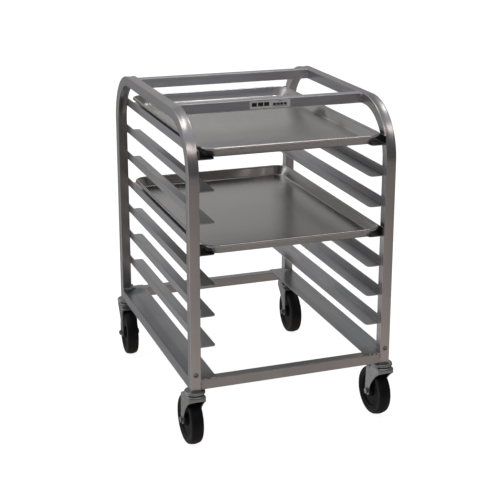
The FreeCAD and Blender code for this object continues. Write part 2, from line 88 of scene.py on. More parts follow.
# Stem screws: radius and height of the points of a head, from its middle to its shank
SCREW_HOLE_RADIUS = 6.4 * MM
SCREW_HOLE_SIDES = 48
SCREW_RISE = 1.4 * MM
SCREW_PROFILE = (
    (0.05 * MM, 0.15 * MM), (2.2 * MM, 0.35 * MM), (4.1 * MM, 1.0 * MM),
    (4.9 * MM, SCREW_RISE), (5.5 * MM, SCREW_RISE), (5.9 * MM, 1.0 * MM),
    (5.9 * MM, 0.0), (3.0 * MM, 0.0), (3.0 * MM, -12 * MM),
)
SCREW_STEPS = 40
SCREW_SHARP = 50.0                 # degrees

# Weld beads: radius of each kind
LEDGE_END_BEAD = 1.7 * MM          # across the end of a rail, on its bottom tube
BASE_SEAM_BEAD = 0.9 * MM          # up the faces of a bottom tube, at the post
RAIL_SEAM_BEAD = 3.4 * MM          # across the post, on the rail
TOP_SEAM_BEAD = 2.3 * MM           # up the faces of a top tube, at the side frame
TOP_CROWN_BEAD = 1.5 * MM          # across a top tube's upper face
SLIDE_BEAD = 1.2 * MM              # along the top of a slide, at the post
HEAVY_WELD = (-1, 1)               # the corner with the heaviest weld
HEAVY_BEADS = (3.8 * MM, 4.4 * MM)    # its upright bead and its flat one
HEAVY_LENGTH = 12 * MM
HEAVY_SKEW = 3 * MM                # how far the flat one runs off to the rear
LEDGE_END_BACK = 1.6 * MM          # from the face of the bottom tube
LEDGE_END_LIFT = 0.7 * MM          # over the bottom tube
LEDGE_END_SHORT = 2 * MM           # short of the rail's free edge
SEAM_INSET = 1 * MM                # from the ends of a seam
CROWN_DEPTH = 1.5 * MM             # below a top tube's upper face
TOP_SEAM_DEPTH = 2 * MM
SLIDE_BEAD_INSET = 0.4 * MM        # from the post's inner face
SLIDE_BEAD_ENDS = (6 * MM, 21 * MM)    # from the post's outer face
BEAD_PITCH = 1.1                   # distance between drops, in radii
DROP_SCATTER = 0.25                # in radii
DROP_SIZES = (0.8, 1.15)           # in radii
DROP_ROWS, DROP_COLUMNS = 5, 8
WELD_SEED = 7
WELD_SHARP = 60.0                  # degrees

# Bars on the label, in place of print: left end, right end, height, rise over the middle and
# how many share the length. Lengths are shares of the label's width, the rest of its height.
LABEL_BARS = (
    (0.05, 0.50, 0.50, 0.05, 3),
    (0.57, 0.93, 0.30, -0.02, 4),
    (0.57, 0.93, 0.06, -0.26, 1),
    (0.70, 0.80, 0.06, 0.36, 1),
)
BAR_SHARES = (0.80, 0.93)          # how much of its cell a bar fills
BAR_SINK, BAR_LIFT = 0.02 * MM, 0.06 * MM
LABEL_SEED = 3

# Bare metal, warmer and cooler
FRAME_WARM, FRAME_COOL = (0.64, 0.605, 0.575), (0.57, 0.575, 0.59)
# The top tubes' colours are the frame's aluminium made lighter and bluer: painted cool light
TOP_LIT_WARM, TOP_LIT_COOL = (0.77, 0.79, 0.82), (0.71, 0.74, 0.79)
BASE_WARM, BASE_COOL = (0.60, 0.565, 0.54), (0.54, 0.54, 0.545)
RAIL_WARM, RAIL_COOL = (0.61, 0.605, 0.605), (0.54, 0.56, 0.59)
SLIDE_WARM, SLIDE_COOL = (0.69, 0.68, 0.685), (0.63, 0.64, 0.665)
PAN_WARM, PAN_COOL = (0.72, 0.695, 0.665), (0.64, 0.635, 0.625)

DRAWN_OUT = 0.02                   # width of a drawing line, as a share of its length

# Marks and patches on it, and painted light and shade
STREAK = (0.40, 0.40, 0.41)
RUBBED = (0.78, 0.77, 0.76)
PAN_STREAK = (0.50, 0.49, 0.47)
PAN_SMEAR = (0.38, 0.365, 0.33)
PAN_PIT = (0.18, 0.17, 0.155)
PAN_UNDERSIDE = (0.34, 0.33, 0.32)
OLD_GREASE = (0.20, 0.195, 0.15)
# Painted dark reflection on the upper pan's floor, front left
PAN_FLOOR_REFLECTION = (0.27, 0.30, 0.35)
# Painted highlight along the upper pan's rear rim
REAR_RIM_HIGHLIGHT = (0.96, 0.97, 1.00)
RAIL_GRIME_SIDE, RAIL_GRIME_TOP = (0.45, 0.43, 0.41), (0.30, 0.28, 0.26)
# Painted shade on the front ends of the slides that hold a pan, under the pan's corners: sides and
# tops
SLIDE_SHADE_SIDE, SLIDE_SHADE_TOP = (0.36, 0.365, 0.375), (0.26, 0.262, 0.266)
HEAVY_WELD_PATCH = (0.20, 0.21, 0.235)
# Painted shade on the top left slide, by the rear post
SLIDE_REAR_SHADE = (0.26, 0.27, 0.29)

# Small parts: clean, and where they are worn, dusty or thin
ZINC, ZINC_YELLOWED, ZINC_DULL = (0.40, 0.42, 0.435), (0.47, 0.47, 0.44), (0.26, 0.26, 0.255)
SCREW_ZINC, WIRE_ZINC = (0.36, 0.37, 0.38), (0.60, 0.61, 0.62)
STEEL, STEEL_OILY = (0.62, 0.62, 0.64), (0.30, 0.27, 0.22)
WELD, WELD_HOLLOW = (0.88, 0.88, 0.87), (0.11, 0.105, 0.10)
RUBBER, RUBBER_DUST, RUBBER_GRAIN = (0.0095, 0.010, 0.011), (0.032, 0.032, 0.031), (0.018,) * 3
PLASTIC, PLASTIC_DUST = (0.008, 0.008, 0.009), (0.026, 0.025, 0.024)
FOIL, FOIL_CLOUD = (0.95, 0.95, 0.95), (0.90, 0.90, 0.91)
INK, INK_THIN = (0.012, 0.012, 0.014), (0.10, 0.10, 0.10)

# Stains, and a painted reflection and a painted highlight on the upper pan: centre and reach along
# each axis in metres, and strength
PAN_STAINS_AND_LIGHT = (
    (OLD_GREASE, ((0.212, 0.010, 0.726), (0.018, 0.050, 0.018), 0.95)),
    (OLD_GREASE, ((0.205, -0.130, 0.728), (0.010, 0.030, 0.012), 0.35)),
    # Painted dark reflection on the upper pan's floor, front left.
    (PAN_FLOOR_REFLECTION, ((-0.120, -0.270, 0.721), (0.260, 0.110, 0.020), 0.42)),
    (OLD_GREASE, ((-0.060, 0.230, 0.492), (0.045, 0.020, 0.010), 0.20)),
    (OLD_GREASE, ((0.100, -0.050, 0.492), (0.012, 0.008, 0.010), 0.45)),
    (OLD_GREASE, ((0.215, -0.080, 0.500), (0.020, 0.300, 0.030), 0.40)),
    # Painted highlight along the upper pan's rear rim.
    (REAR_RIM_HIGHLIGHT, ((0.000, 0.306, 0.750), (0.240, 0.022, 0.014), 0.95)),
)
# Darker patch on the rail's top round the heavy weld, at the foot of the post.
DARK_BY_HEAVY_WELD = ((-0.230, 0.298, 0.184), (0.040, 0.036, 0.016), 0.92)
# Painted shade on the top left slide, by the rear post.
SHADE_BY_REAR_POST = ((-0.234, 0.290, 0.708), (0.030, 0.180, 0.040), 0.80)

# Floor, lamps and camera
FLOOR_REACH = 40.0
FLOOR_GREYS = ((0.42, 0.42, 0.42), (0.40, 0.40, 0.40))
FLOOR_GLOW = 0.94
WHITE = (1, 1, 1, 1)
# Name, place, width and depth, power in watts and colour
LAMPS = (
    ("overhead", (0.64, 0.20, 3.14), (0.95, 0.50), 6.2, (1.0, 0.93, 0.89)),
    ("front_strip", (0.15, -0.77, 1.21), (0.95, 0.11), 0.90, (1.0, 0.87, 0.82)),
)
LAMP_TARGET = (0, -0.30, 0.75)
CAMERA_PLACE = (-1.032, -2.901, 1.400)
CAMERA_TURN = (73.30, -0.335, -20.40)    # degrees
CAMERA_SENSOR, CAMERA_LENS = 36.0, 88.1    # mm
CAMERA_SHIFT = (-0.030, -0.073)
CAMERA_NEAR = 0.05

# Brightness of the room by the height of a direction, from straight down (-1) to straight up (1)
IN_FRONT = (
    (-1.00, (0.20, 0.190, 0.184)),
    (-0.50, (0.50, 0.440, 0.415)),
    (-0.38, (0.54, 0.480, 0.455)),
    (-0.27, (0.12, 0.109, 0.104)),
    (-0.08, (0.06, 0.058, 0.058)),
    (0.10, (0.09, 0.090, 0.094)),
    (0.60, (0.12, 0.122, 0.130)),
    (0.80, (0.26, 0.270, 0.300)),
    (0.93, (0.44, 0.460, 0.520)),
    (1.00, (0.40, 0.410, 0.450)),
)
BEHIND = (
    (-1.00, (0.30, 0.285, 0.275)),
    (-0.50, (0.20, 0.196, 0.194)),
    (-0.28, (0.17, 0.168, 0.169)),
    (-0.19, (0.20, 0.200, 0.208)),
    (-0.08, (0.22, 0.220, 0.228)),
    (0.10, (0.42, 0.420, 0.425)),
    (0.20, (0.50, 0.493, 0.486)),
    (0.32, (0.31, 0.308, 0.310)),
    (0.60, (0.30, 0.300, 0.305)),
    (0.80, (0.48, 0.470, 0.470)),
    (0.93, (0.46, 0.470, 0.500)),
    (1.00, (0.40, 0.410, 0.450)),
)
BEHIND_LEFT = (
    (-1.00, (0.30, 0.285, 0.275)),
    (-0.50, (0.34, 0.338, 0.340)),
    (-0.28, (0.50, 0.498, 0.505)),
    (-0.19, (0.40, 0.400, 0.408)),
    (-0.05, (0.16, 0.160, 0.165)),
    (0.08, (0.10, 0.100, 0.102)),
    (0.19, (0.14, 0.140, 0.142)),
    (0.28, (0.60, 0.600, 0.610)),
    (0.42, (0.60, 0.600, 0.620)),
    (0.86, (0.48, 0.480, 0.500)),
    (1.00, (0.40, 0.410, 0.450)),
)
# Share of the light behind the rack, from the left (-1) to the right (1)
ACROSS = (
    (-1.0, 1.5), (-0.46, 1.5), (-0.38, 1.0), (0.24, 1.0), (0.34, 0.92), (0.48, 0.6), (1.0, 0.5),
)
FRONT_TO_BACK = (-0.45, 0.45)      # Y of the directions between which front turns to behind
TO_THE_LEFT = (-0.34, -0.42)       # X of the directions between which behind turns to behind left


# ---------------------------------------------------------------- nodes

def plug(tree, socket, value):
    """Links a socket to another socket, or sets it to a plain value."""
    if isinstance(value, bpy.types.NodeSocket):
        tree.links.new(value, socket)
    else:
        socket.default_value = value


def node(tree, kind, **settings):
    """Adds a node. Each setting is the name of an input socket, or else of a property."""
    made = tree.nodes.new(kind)
    for key, value in settings.items():
        name = key.replace("_", " ")
        if name in made.inputs:
            plug(tree, made.inputs[name], value)
        else:
            setattr(made, key, value)
    return made


def place_of(tree, source="Object", scale=(1, 1, 1)):
    """Texture coordinates of a mesh in metres, times a scale for each axis."""
    coordinate = node(tree, "ShaderNodeTexCoord").outputs[source]
    return node(tree, "ShaderNodeMapping", Vector=coordinate, Scale=scale).outputs["Vector"]


def facing(tree):
    """X, Y and Z of the surface's normal."""
    normal = node(tree, "ShaderNodeNewGeometry").outputs["Normal"]
    return node(tree, "ShaderNodeSeparateXYZ", Vector=normal).outputs


def noise(tree, place, scale, detail=3.0, rough=0.55):
    """Cloudy pattern, around 0.5."""
    made = node(tree, "ShaderNodeTexNoise", Vector=place, Scale=scale, Detail=detail,
                Roughness=rough)
    return made.outputs["Fac"]


def cells(tree, place, scale):
    """Distance to the nearest of many scattered points."""
    return node(tree, "ShaderNodeTexVoronoi", Vector=place, Scale=scale).outputs["Distance"]


def remap(tree, value, span, to=(0, 1), eased=False):
    """Moves a value from one span to another, and keeps it inside."""
    made = node(tree, "ShaderNodeMapRange", Value=value, From_Min=span[0], From_Max=span[1],
                To_Min=to[0], To_Max=to[1], interpolation_type="SMOOTHSTEP" if eased else "LINEAR")
    return made.outputs["Result"]


def arithmetic(tree, operation, a, b=0.0):
    """Result of a Math node."""
    made = node(tree, "ShaderNodeMath", operation=operation)
    plug(tree, made.inputs[0], a)
    plug(tree, made.inputs[1], b)
    return made.outputs["Value"]


def blend_colours(tree, share, a, b, mode="MIX"):
    """Colour a turned into colour b by a share. A colour is a socket or three numbers."""
    made = node(tree, "ShaderNodeMix", data_type="RGBA", blend_type=mode)
    # A Mix node has sockets of the same name for each kind of data, so these go by number.
    share_socket, a_socket, b_socket = (made.inputs[index] for index in (0, 6, 7))
    plug(tree, share_socket, share)
    for socket, colour in ((a_socket, a), (b_socket, b)):
        plug(tree, socket, (*colour, 1.0) if isinstance(colour, tuple) else colour)
    return made.outputs[2]


def bump(tree, height, distance, strength=1.0, under=None):
    """Normal that follows a height pattern, on top of another bump where there is one."""
    made = node(tree, "ShaderNodeBump", Height=height, Distance=distance, Strength=strength)
    if under is not None:
        plug(tree, made.inputs["Normal"], under)
    return made.outputs["Normal"]


# ---------------------------------------------------------------- materials

def surface(name, metallic, roughness=0.5, **constants):
    """Material with only a Principled shader, its tree and the shader."""
    material = bpy.data.materials.new(name)
    material.use_nodes = True
    tree = material.node_tree
    tree.nodes.clear()
    output = node(tree, "ShaderNodeOutputMaterial")
    shader = node(tree, "ShaderNodeBsdfPrincipled", Metallic=metallic, Roughness=roughness,
                  **constants)
    plug(tree, output.inputs["Surface"], shader.outputs["BSDF"])
    return material, tree, shader


def dress(tree, shader, colour, roughness=None, normal=None):
    """Links the colour of a shader, and its roughness and normal where they vary."""
    for name, value in (("Base Color", colour), ("Roughness", roughness), ("Normal", normal)):
        if value is not None:
            plug(tree, shader.inputs[name], value)


def finished(material):
    """Tree and shader of a finished material, and the socket that colours it."""
    tree = material.node_tree
    shader = next(made for made in tree.nodes if made.type == "BSDF_PRINCIPLED")
    return tree, shader, shader.inputs["Base Color"].links[0].from_socket


def mill_aluminium(name, along, source, warm, cool, roughness, streaks=0.30):
    """Satin aluminium with drawing lines along one axis, cloudy patches and fine rub marks."""
    material, tree, shader = surface(name, metallic=1.0)
    stretch = [1.0, 1.0, 1.0]
    stretch[along] = DRAWN_OUT
    lines = noise(tree, place_of(tree, source, stretch), 420.0, detail=4.0)
    bands = noise(tree, place_of(tree, source, stretch), 70.0, detail=2.0)
    clouds = noise(tree, place_of(tree, source), 7.0, detail=4.0)
    rubs = noise(tree, place_of(tree, source), 55.0, detail=8.0, rough=0.7)
    base = blend_colours(tree, remap(tree, clouds, (0.35, 0.65)), warm, cool)
    streaky = blend_colours(tree, remap(tree, bands, (0.3, 0.7), (0, streaks)), base, STREAK)
    colour = blend_colours(tree, remap(tree, rubs, (0.56, 0.74), (0, 0.35)), streaky, RUBBED)
    spread = remap(tree, lines, (0.25, 0.75), (-0.025, 0.025))
    patchy = remap(tree, clouds, (0.2, 0.8), (roughness - 0.02, roughness + 0.05), eased=True)
    fine = bump(tree, lines, 0.06 * MM, strength=0.5)
    dress(tree, shader, colour, arithmetic(tree, "ADD", spread, patchy),
          bump(tree, clouds, 0.6 * MM, strength=0.25, under=fine))
    return material


def grime_and_shade_front(material, reach, fade, side_colour, top_colour):
    """Darkens the front end of a rail or slide, more on its top than on its sides: burnt-on grime
    on a rail, painted shade under the pan's corners on a slide.
    """
    tree, shader, clean = finished(material)
    place = place_of(tree)
    ragged = noise(tree, place, 90.0, detail=4.0, rough=0.6)
    along = node(tree, "ShaderNodeSeparateXYZ", Vector=place).outputs["Y"]
    shifted = arithmetic(tree, "ADD", along, remap(tree, ragged, (0, 1), (-fade / 2, fade / 2)))
    share = remap(tree, shifted, (reach, reach + fade), (1, 0))
    sideways = arithmetic(tree, "ABSOLUTE", facing(tree)["X"])
    grime_and_shade = blend_colours(tree, remap(tree, sideways, (0.5, 0.8)), top_colour, side_colour)
    dress(tree, shader, blend_colours(tree, share, clean, grime_and_shade))
    return material


def ragged_oval(tree, centre, size, share):
    """Share of a ragged oval spot: its centre and its reach along each axis."""
    scale = tuple(1 / reach for reach in size)
    shift = tuple(-place / reach for place, reach in zip(centre, size))
    coordinate = node(tree, "ShaderNodeTexCoord").outputs["Object"]
    local = node(tree, "ShaderNodeMapping", Vector=coordinate, Location=shift, Scale=scale)
    away = node(tree, "ShaderNodeVectorMath", operation="LENGTH")
    plug(tree, away.inputs[0], local.outputs["Vector"])
    ragged = noise(tree, local.outputs["Vector"], 1.6, detail=4.0, rough=0.6)
    ragged_shift = remap(tree, ragged, (0, 1), (-0.5, 0.5))
    reach = arithmetic(tree, "ADD", away.outputs["Value"], ragged_shift)
    return remap(tree, reach, (0.4, 1.1), (share, 0), eased=True)


def with_dark_spot(material, place, colour):
    """Darkens one spot of a finished material."""
    tree, shader, clean = finished(material)
    dress(tree, shader, blend_colours(tree, ragged_oval(tree, *place), clean, colour))
    return material


def pan_aluminium(name):
    """Satin sheet with soft clouds, rolling lines, smears, pits, stains and a duller underside, and
    on the upper pan a painted reflection on the floor and a painted highlight on the rear rim.
    """
    material, tree, shader = surface(name, metallic=1.0)
    place = place_of(tree)
    rolled = noise(tree, place_of(tree, scale=(1, 0.03, 1)), 380.0)
    clouds = noise(tree, place, 4.5, detail=2.0, rough=0.45)
    smears = noise(tree, place_of(tree, scale=(1, 1.6, 1)), 11.0, detail=4.0)
    pits = cells(tree, place, 24.0)
    cloudy = remap(tree, clouds, (0.2, 0.8), eased=True)
    colour = blend_colours(tree, cloudy, PAN_WARM, PAN_COOL)
    layers = (
        (remap(tree, rolled, (0.35, 0.65), (0, 0.10)), PAN_STREAK),
        (remap(tree, smears, (0.58, 0.85), (0, 0.25), eased=True), PAN_SMEAR),
        (remap(tree, pits, (0.03, 0.06), (0.7, 0)), PAN_PIT),
        *((ragged_oval(tree, *stain_and_light_place), stain_and_light_colour) for stain_and_light_colour, stain_and_light_place in PAN_STAINS_AND_LIGHT),
        (remap(tree, facing(tree)["Z"], (-0.95, -0.7), (1, 0)), PAN_UNDERSIDE),
    )
    for share, mark in layers:
        colour = blend_colours(tree, share, colour, mark)
    dress(tree, shader, colour, remap(tree, clouds, (0.1, 0.9), (0.235, 0.25), eased=True))
    return material


def zinc_plate(name, colour, roughness):
    """Bright zinc plate: small crystals, bluish and yellowish patches and dull spots."""
    material, tree, shader = surface(name, metallic=1.0)
    place = place_of(tree)
    patches = noise(tree, place, 60.0)
    dull = noise(tree, place, 130.0, detail=6.0, rough=0.65)
    tint = blend_colours(tree, remap(tree, patches, (0.4, 0.6)), colour, ZINC_YELLOWED)
    aged = blend_colours(tree, remap(tree, dull, (0.52, 0.75), (0, 0.5)), tint, ZINC_DULL)
    dress(tree, shader, aged, remap(tree, dull, (0.3, 0.75), (roughness, roughness + 0.22)),
          bump(tree, cells(tree, place, 260.0), 0.2 * MM, strength=0.2))
    return material


def polished_steel(name):
    """Bright ball and bushing steel with light oil stains."""
    material, tree, shader = surface(name, metallic=1.0)
    stains = noise(tree, place_of(tree), 90.0, detail=5.0)
    colour = blend_colours(tree, remap(tree, stains, (0.45, 0.7), (0, 0.6)), STEEL, STEEL_OILY)
    dress(tree, shader, colour, remap(tree, stains, (0.3, 0.7), (0.12, 0.35)))
    return material


def black_rubber(name):
    """Hard black rubber, dusty and scuffed on the tread."""
    material, tree, shader = surface(name, metallic=0.0, Specular_IOR_Level=0.28)
    place = place_of(tree)
    dust = noise(tree, place, 45.0, detail=6.0, rough=0.65)
    grains = noise(tree, place, 700.0)
    dusty = blend_colours(tree, remap(tree, dust, (0.5, 0.78), (0, 0.55)), RUBBER, RUBBER_DUST)
    colour = blend_colours(tree, remap(tree, grains, (0.45, 0.7), (0, 0.3)), dusty, RUBBER_GRAIN)
    dress(tree, shader, colour, remap(tree, dust, (0.35, 0.75), (0.42, 0.66)),
          bump(tree, grains, 0.1 * MM, strength=0.35))
    return material


def black_plastic(name):
    """Moulded black plastic of the wheel centres, with flow marks and dust."""
    material, tree, shader = surface(name, metallic=0.0, Specular_IOR_Level=0.25)
    place = place_of(tree)
    dust = noise(tree, place, 70.0, detail=5.0, rough=0.6)
    pebble = noise(tree, place, 1100.0, detail=2.0)
    colour = blend_colours(tree, remap(tree, dust, (0.45, 0.75), (0, 0.5)), PLASTIC, PLASTIC_DUST)
    dress(tree, shader, colour, remap(tree, dust, (0.3, 0.7), (0.48, 0.66)),
          bump(tree, pebble, 0.08 * MM, strength=0.4))
    return material


def weld_metal(name):
    """Aluminium weld bead: bright metal with sooty hollows."""
    material, tree, shader = surface(name, metallic=1.0)
    soot = noise(tree, place_of(tree), 160.0, detail=5.0, rough=0.6)
    colour = blend_colours(tree, remap(tree, soot, (0.47, 0.58), (0, 0.85)), WELD, WELD_HOLLOW)
    dress(tree, shader, colour, remap(tree, soot, (0.3, 0.7), (0.38, 0.55)),
          bump(tree, soot, 0.2 * MM, strength=0.3))
    return material


def foil(name):
    """Silver foil of the label, finely brushed across."""
    material, tree, shader = surface(name, metallic=0.0)
    brushed = noise(tree, place_of(tree, scale=(0.02, 1, 1)), 900.0)
    clouds = noise(tree, place_of(tree), 40.0)
    colour = blend_colours(tree, remap(tree, clouds, (0.4, 0.7)), FOIL, FOIL_CLOUD)
    dress(tree, shader, colour, remap(tree, brushed, (0.3, 0.7), (0.32, 0.44)))
    return material


def ink(name):
    """Black print on the label, thin in places."""
    material, tree, shader = surface(name, metallic=0.0)
    thin = noise(tree, place_of(tree), 420.0, detail=4.0)
    colour = blend_colours(tree, remap(tree, thin, (0.5, 0.8), (0, 0.5)), INK, INK_THIN)
    dress(tree, shader, colour)
    return material


def bottom_rail_metal(name):
    """Streaky aluminium, grimy in front and darker round the heavy weld."""
    bare = mill_aluminium(name, AXIS_Y, "Object", RAIL_WARM, RAIL_COOL, roughness=0.31,
                          streaks=0.75)
    dark_front = grime_and_shade_front(bare, reach=-0.345, fade=0.060,
                        side_colour=RAIL_GRIME_SIDE, top_colour=RAIL_GRIME_TOP)
    return with_dark_spot(dark_front, DARK_BY_HEAVY_WELD, HEAVY_WELD_PATCH)


def slide_metal(name):
    """Aluminium of a slide."""
    return mill_aluminium(name, AXIS_Y, "Object", SLIDE_WARM, SLIDE_COOL, roughness=0.32)


def used_slide_metal(name):
    """Aluminium of a slide that holds a pan, with painted shade on its front end under the pan's
    corner and, on the top left slide, by the rear post.
    """
    # Painted shade on the front end, where the pan's corner sits over the slide.
    dark_front = grime_and_shade_front(slide_metal(name), reach=-0.300, fade=0.020,
                        side_colour=SLIDE_SHADE_SIDE, top_colour=SLIDE_SHADE_TOP)
    # Painted shade on the top left slide, by the rear post.
    return with_dark_spot(dark_front, SHADE_BY_REAR_POST, SLIDE_REAR_SHADE)


MATERIALS = {
    "bent_tube": mill_aluminium(
        "bent_tube", AXIS_X, "UV", FRAME_WARM, FRAME_COOL, roughness=0.295),
    # Painted cool light: the frame's aluminium made lighter and bluer.
    "top_tube": mill_aluminium(
        "top_tube", AXIS_X, "Object", TOP_LIT_WARM, TOP_LIT_COOL, roughness=0.325),
    "bottom_tube": mill_aluminium(
        "bottom_tube", AXIS_X, "Object", BASE_WARM, BASE_COOL, roughness=0.38),
    "bottom_rail": bottom_rail_metal("bottom_rail"),
    "slide": slide_metal("slide"),
    "slide_with_pan": used_slide_metal("slide_with_pan"),
    "pan": pan_aluminium("pan_sheet"),
    "zinc": zinc_plate("zinc_plate", ZINC, roughness=0.30),
    "screw": zinc_plate("screw_head", SCREW_ZINC, roughness=0.36),
    "wire": zinc_plate("galvanised_wire", WIRE_ZINC, roughness=0.34),
    "polished": polished_steel("polished_steel"),
    "rubber": black_rubber("black_rubber"),
    "plastic": black_plastic("black_plastic"),
    "weld": weld_metal("weld_metal"),
    "foil": foil("label_foil"),
    "ink": ink("label_ink"),
}


# ---------------------------------------------------------------- mesh helpers

def finish_mesh(mesh, sharp):
    """Smooth shading that breaks at edges sharper than an angle in degrees."""
    work = bmesh.new()
    work.from_mesh(mesh)
    bmesh.ops.recalc_face_normals(work, faces=work.faces)
    for face in work.faces:
        face.smooth = True
    for edge in work.edges:
        if len(edge.link_faces) == 2:
            edge.smooth = edge.calc_face_angle() < math.radians(sharp)
    work.to_mesh(mesh)
    work.free()


def piece(name, vertices, faces, material, body, replaces=(), sharp=35.0):
    """Object made of one mesh, riding on a body of the frame."""
    mesh = bpy.data.meshes.new(name)
    mesh.from_pydata([tuple(vertex) for vertex in vertices], [], faces)
    mesh.materials.append(MATERIALS[material])
    finish_mesh(mesh, sharp)
    made = bpy.data.objects.new(name, mesh)
    bpy.context.scene.collection.objects.link(made)
    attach(made, body)
    if replaces:
        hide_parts(*replaces)
    return made


def skin(rings, closed_ends=False):
    """Faces between rings of equally many points, numbered ring after ring."""
    count = len(rings[0])
    faces = []
    for row in range(len(rings) - 1):
        for column in range(count):
            after = (column + 1) % count
            a = row * count
            b = a + count
            faces.append((a + column, a + after, b + after, b + column))
    if closed_ends:
        faces.append(tuple(range(count))[::-1])
        last = (len(rings) - 1) * count
        faces.append(tuple(range(last, last + count)))
    return faces


def join(vertices, faces, more_vertices, more_faces):
    """Adds a shape's vertices and faces to those of a larger mesh."""
    first = len(vertices)
    faces += [tuple(first + index for index in face) for face in more_faces]
    vertices += more_vertices


def cut_away(target, tool):
    """Cuts the tool's solid out of the target's mesh and removes the tool."""
    modifier = target.modifiers.new("cut", "BOOLEAN")
    modifier.operation = "DIFFERENCE"
    modifier.solver = "EXACT"
    modifier.object = tool
    graph = bpy.context.evaluated_depsgraph_get()
    mesh = bpy.data.meshes.new_from_object(target.evaluated_get(graph))
    target.modifiers.clear()
    old = target.data
    target.data = mesh
    bpy.data.meshes.remove(old)
    bpy.data.objects.remove(tool)


# ---------------------------------------------------------------- side frames

def square_section(size, corner):
    """Points round a square tube: (outward, sideways), starting on the outward side."""
    half = size / 2
    side = []
    for step in range(FLAT_STEPS):
        side.append((half, -half + corner + (size - 2 * corner) * step / FLAT_STEPS))
    for step in range(CORNER_STEPS):
        angle = QUARTER_TURN * step / CORNER_STEPS
        centre = half - corner
        side.append((centre + corner * math.cos(angle), centre + corner * math.sin(angle)))
    points = []
    for turn in range(4):
        cos, sin = math.cos(QUARTER_TURN * turn), math.sin(QUARTER_TURN * turn)
        points += [(a * cos - b * sin, a * sin + b * cos) for a, b in side]
    return points


def frame_stations():
    """Places along the bent tube: (centre, outward direction, dish from 0 to 1)."""
    reach = BEND_RADIUS - TUBE / 2
    bend_z = RACK_HEIGHT - BEND_RADIUS
    bend_y = HALF_DEPTH - BEND_RADIUS
    forward, up = Vector((0, -1, 0)), Vector((0, 0, 1))
    stations = []
    for step in range(POST_STEPS):
        z = POST_BOTTOM + (bend_z - POST_BOTTOM) * step / POST_STEPS
        stations.append((Vector((0, -bend_y - reach, z)), forward, 0.0))
    for step in range(BEND_STEPS):
        angle = QUARTER_TURN * step / BEND_STEPS
        outward = Vector((0, -math.cos(angle), math.sin(angle)))
        fade = min(1.0, angle / DISH_FADE, (QUARTER_TURN - angle) / DISH_FADE)
        dish = fade * fade * (3 - 2 * fade)
        stations.append((Vector((0, -bend_y, bend_z)) + outward * reach, outward, dish))
    for step in range(RUN_STEPS // 2):
        y = -bend_y * (1 - 2 * step / RUN_STEPS)
        stations.append((Vector((0, y, bend_z + reach)), up, 0.0))
    middle = (Vector((0, 0, bend_z + reach)), up, 0.0)
    flip = Matrix.Diagonal((1, -1, 1))
    mirrored = [(flip @ place, flip @ outward, dish) for place, outward, dish in reversed(stations)]
    return stations + [middle] + mirrored


def tube_skin(stations, section, x):
    """Rings of points along the bent tube, with the outer and inner walls of the bends dished."""
    half = TUBE / 2
    rings = []
    for place, outward, dish in stations:
        ring = []
        for a, b in section:
            hollow = (1 - (b / half) ** 2) ** 2
            depth = OUTER_DISH if a > 0 else -INNER_DISH
            share = max(0.0, (abs(a) / half - DISH_EDGE) / (1 - DISH_EDGE))
            sunk = a - depth * dish * hollow * min(1.0, share)
            ring.append(place + outward * sunk + Vector((x + b, 0, 0)))
        rings.append(ring)
    return rings


def unwrap_along(made, stations):
    """UV map in metres: U runs along the bent tube and V round it."""
    lengths = [0.0]
    for (a, _, _), (b, _, _) in zip(stations, stations[1:]):
        lengths.append(lengths[-1] + (b - a).length)
    count = len(made.data.vertices) // (2 * len(stations))
    layer = made.data.uv_layers.new(name="along")
    for loop in made.data.loops:
        index = loop.vertex_index % (count * len(stations))
        row, column = divmod(index, count)
        layer.data[loop.index].uv = (lengths[row], 4 * TUBE * column / count)


def drill(side, end):
    """Round bar through the outer wall of a post, where its stem screw goes in."""
    mesh = bpy.data.meshes.new("drill")
    work = bmesh.new()
    seat = Vector((side * POST_X, end * HALF_DEPTH, SCREW_Z))
    turn = Matrix.Translation(seat) @ Matrix.Rotation(QUARTER_TURN, 4, "X")
    bmesh.ops.create_cone(work, cap_ends=True, segments=SCREW_HOLE_SIDES,
                          radius1=SCREW_HOLE_RADIUS, radius2=SCREW_HOLE_RADIUS,
                          depth=TUBE / 2, matrix=turn)
    work.to_mesh(mesh)
    work.free()
    tool = bpy.data.objects.new("drill", mesh)
    bpy.context.scene.collection.objects.link(tool)
    return tool


def side_frame(side, name):
    """One bent tube with its wall, as an upside-down U, and the holes for the stem screws."""
    stations = frame_stations()
    x = side * POST_X
    outer = tube_skin(stations, square_section(TUBE, TUBE_CORNER), x)
    inner = tube_skin(stations, square_section(TUBE - 2 * TUBE_WALL, TUBE_BORE_CORNER), x)
    count = len(outer[0])
    faces = skin(outer)
    first_inner = len(outer) * count
    faces += [tuple(index + first_inner for index in face)[::-1] for face in skin(inner)]
    for row in (0, len(outer) - 1):
        for column in range(count):
            after = (column + 1) % count
            a, b = row * count + column, row * count + after
            faces.append((b, a, a + first_inner, b + first_inner))
    vertices = [point for ring in outer + inner for point in ring]
    made = piece(f"bent_tube_{name}", vertices, faces, "bent_tube", "rack",
                 [f"side_frame_{name}"], TUBE_SHARP)
    unwrap_along(made, stations)
    for end in (-1, 1):
        cut_away(made, drill(side, end))
    finish_mesh(made.data, TUBE_SHARP)


# ---------------------------------------------------------------- stem screws

